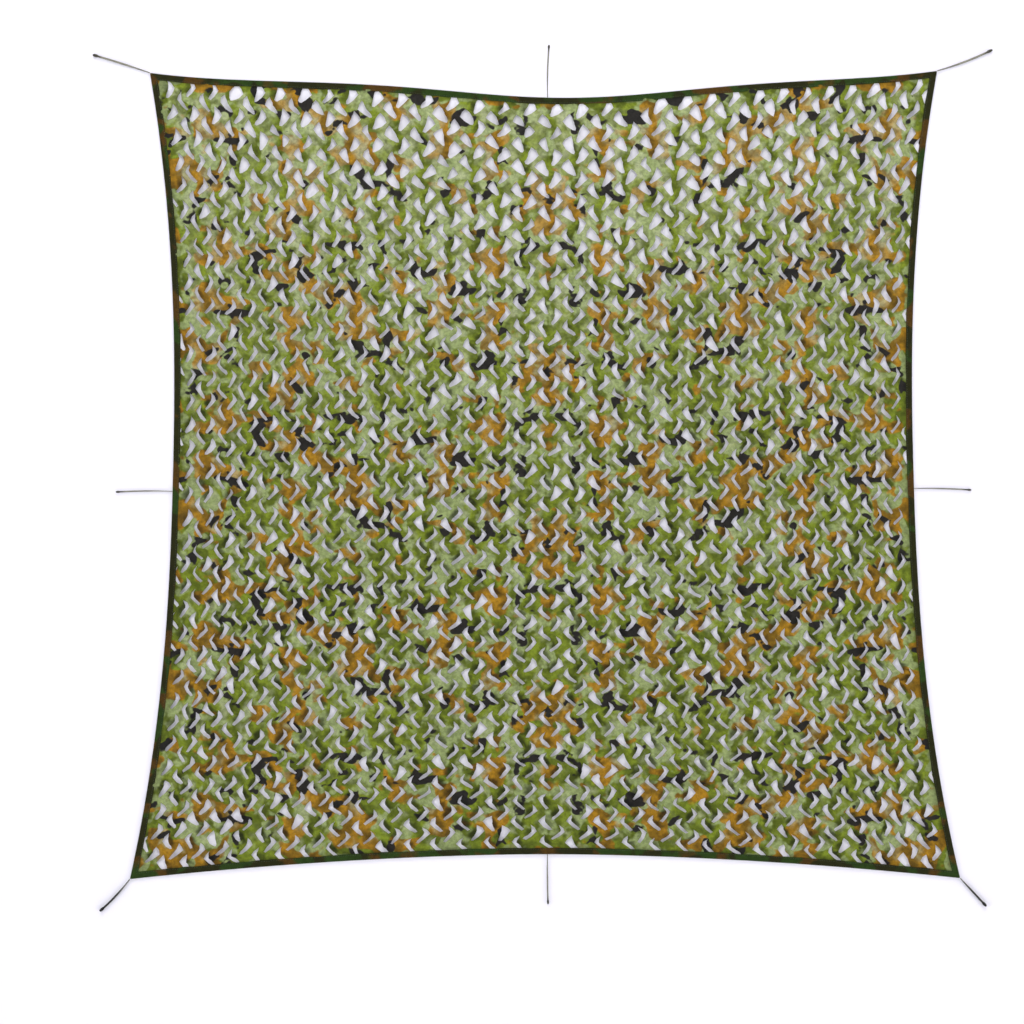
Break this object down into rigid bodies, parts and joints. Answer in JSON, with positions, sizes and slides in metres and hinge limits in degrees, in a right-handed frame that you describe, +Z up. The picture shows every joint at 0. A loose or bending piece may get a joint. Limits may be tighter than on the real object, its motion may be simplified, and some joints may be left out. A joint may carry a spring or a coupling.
{
  "type": "camouflage net",
  "caption": "Camouflage net of slit leaf-cut cloth, nearly square with drawn-in edges, bound with folded tape and tied with short knotted cords at its corners and mid-edges.",
  "frame": {"origin": "under the middle of the bound net's box, on the surface it lies on, with the tie cords left out", "axes": "+Z up out of the laid net, +Y towards its top edge as shown, +X towards its right-hand edge"},
  "size_m": [2.2495, 2.1672, 0.0083],
  "materials": {
    "net_cloth": "matt woven polyester printed in green, pale green, ochre and near-black camouflage",
    "edge_tape": "matt dark green tape with brown and black camouflage patches",
    "light_cord": "laid cord, grey-olive",
    "dark_cord": "laid cord, near black"
  },
  "bodies": {
    "root": {"net_cloth": "net_cloth", "tape_top": "edge_tape", "tape_right": "edge_tape", "tape_bottom": "edge_tape", "tape_left": "edge_tape", "tie_top_left": "light_cord", "tie_top": "light_cord", "tie_top_right": "light_cord", "tie_right": "light_cord", "tie_bottom_right": "dark_cord", "tie_bottom": "light_cord", "tie_bottom_left": "dark_cord", "tie_left": "light_cord"}
  },
  "joints": []
}
